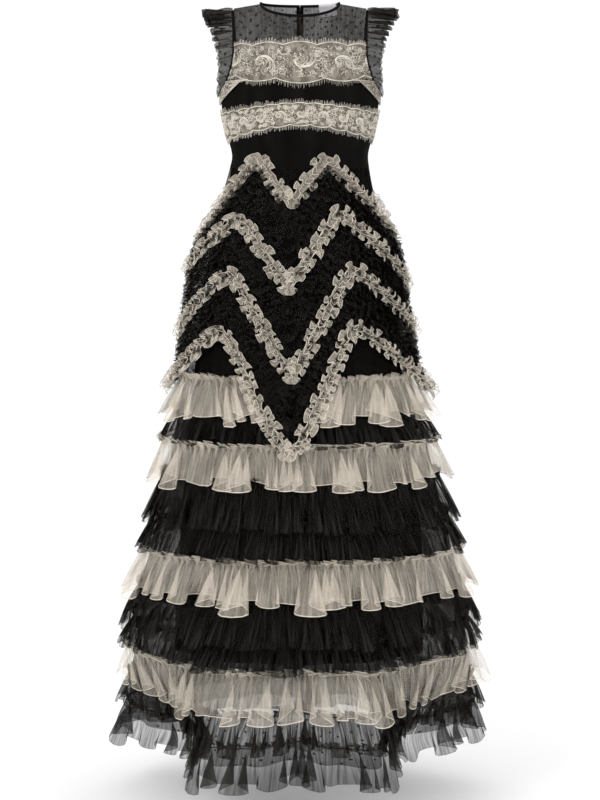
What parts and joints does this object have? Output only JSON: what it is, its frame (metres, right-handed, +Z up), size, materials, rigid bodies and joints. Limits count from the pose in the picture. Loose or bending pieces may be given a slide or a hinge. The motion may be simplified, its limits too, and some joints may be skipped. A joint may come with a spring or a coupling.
{
  "type": "tulle dress",
  "caption": "Long sleeveless tulle dress with flutter armholes, lace bands, zigzag ruffles and a tiered ruffled skirt over a slip, worn and held at the shoulders.",
  "frame": {"origin": "centre of the shoulders, level with the neck points, where the wearer carries the dress", "axes": "+Z up, front towards -Y, the wearer's left towards +X"},
  "size_m": [0.6856, 0.6245, 1.3565],
  "materials": {
    "black_cloth": "matt opaque woven lining cloth",
    "black_tulle": "sheer black net, dotted on the yoke, sleeves and skirt base",
    "cream_tulle": "soft cream net gathered into ruffles",
    "cream_lace": "corded cream lace on sheer net with scalloped eyelash edges",
    "label_cloth": "blank white satin label",
    "dark_metal": "black enamelled zip slider and tab"
  },
  "bodies": {
    "dress": {"yoke_front": "black_tulle", "yoke_back_left": "black_tulle", "yoke_back_right": "black_tulle", "sleeve_ruffle_left": "black_tulle", "sleeve_ruffle_right": "black_tulle", "bodice_front": "black_cloth", "bodice_back_left": "black_cloth", "bodice_back_right": "black_cloth", "waist_panel_front": "black_cloth", "waist_panel_back_left": "black_cloth", "waist_panel_back_right": "black_cloth", "slip_upper_front": "black_cloth", "slip_upper_back_left": "black_cloth", "slip_upper_back_right": "black_cloth", "slip_lower_front": "black_cloth", "slip_lower_back_left": "black_cloth", "slip_lower_back_right": "black_cloth", "neck_binding": "black_cloth", "armhole_binding_left": "black_cloth", "armhole_binding_right": "black_cloth", "zip_tape_left": "black_cloth", "zip_tape_right": "black_cloth", "lace_upper_front": "cream_lace", "lace_upper_back_left": "cream_lace", "lace_upper_back_right": "cream_lace", "lace_lower_front": "cream_lace", "lace_lower_back_left": "cream_lace", "lace_lower_back_right": "cream_lace", "skirt_base_front": "black_tulle", "skirt_base_back_left": "black_tulle", "skirt_base_back_right": "black_tulle", "black_ruffle_1": "black_tulle", "black_ruffle_2": "black_tulle", "black_ruffle_3": "black_tulle", "black_ruffle_4": "black_tulle", "black_ruffle_5": "black_tulle", "black_ruffle_6": "black_tulle", "zigzag_1": "cream_tulle", "zigzag_2": "cream_tulle", "zigzag_3": "cream_tulle", "zigzag_4": "cream_tulle", "tier_a_left": "cream_tulle", "tier_a_right": "cream_tulle", "tier_c": "cream_tulle", "tier_f": "cream_tulle", "tier_i": "cream_tulle", "tier_b": "black_tulle", "tier_d": "black_tulle", "tier_e": "black_tulle", "tier_g": "black_tulle", "tier_h": "black_tulle", "tier_j": "black_tulle", "tier_k": "black_tulle", "neck_label": "label_cloth", "zip_slider": "dark_metal"},
    "zip_pull": {"zip_pull_tab": "dark_metal"}
  },
  "joints": [
    {"name": "zip_pull_swing", "type": "hinge", "parent": "dress", "child": "zip_pull", "pos_m": [0, 0.06016, -0.00898], "axis": [1, 0, 0], "range_deg": [0, 150]}
  ]
}
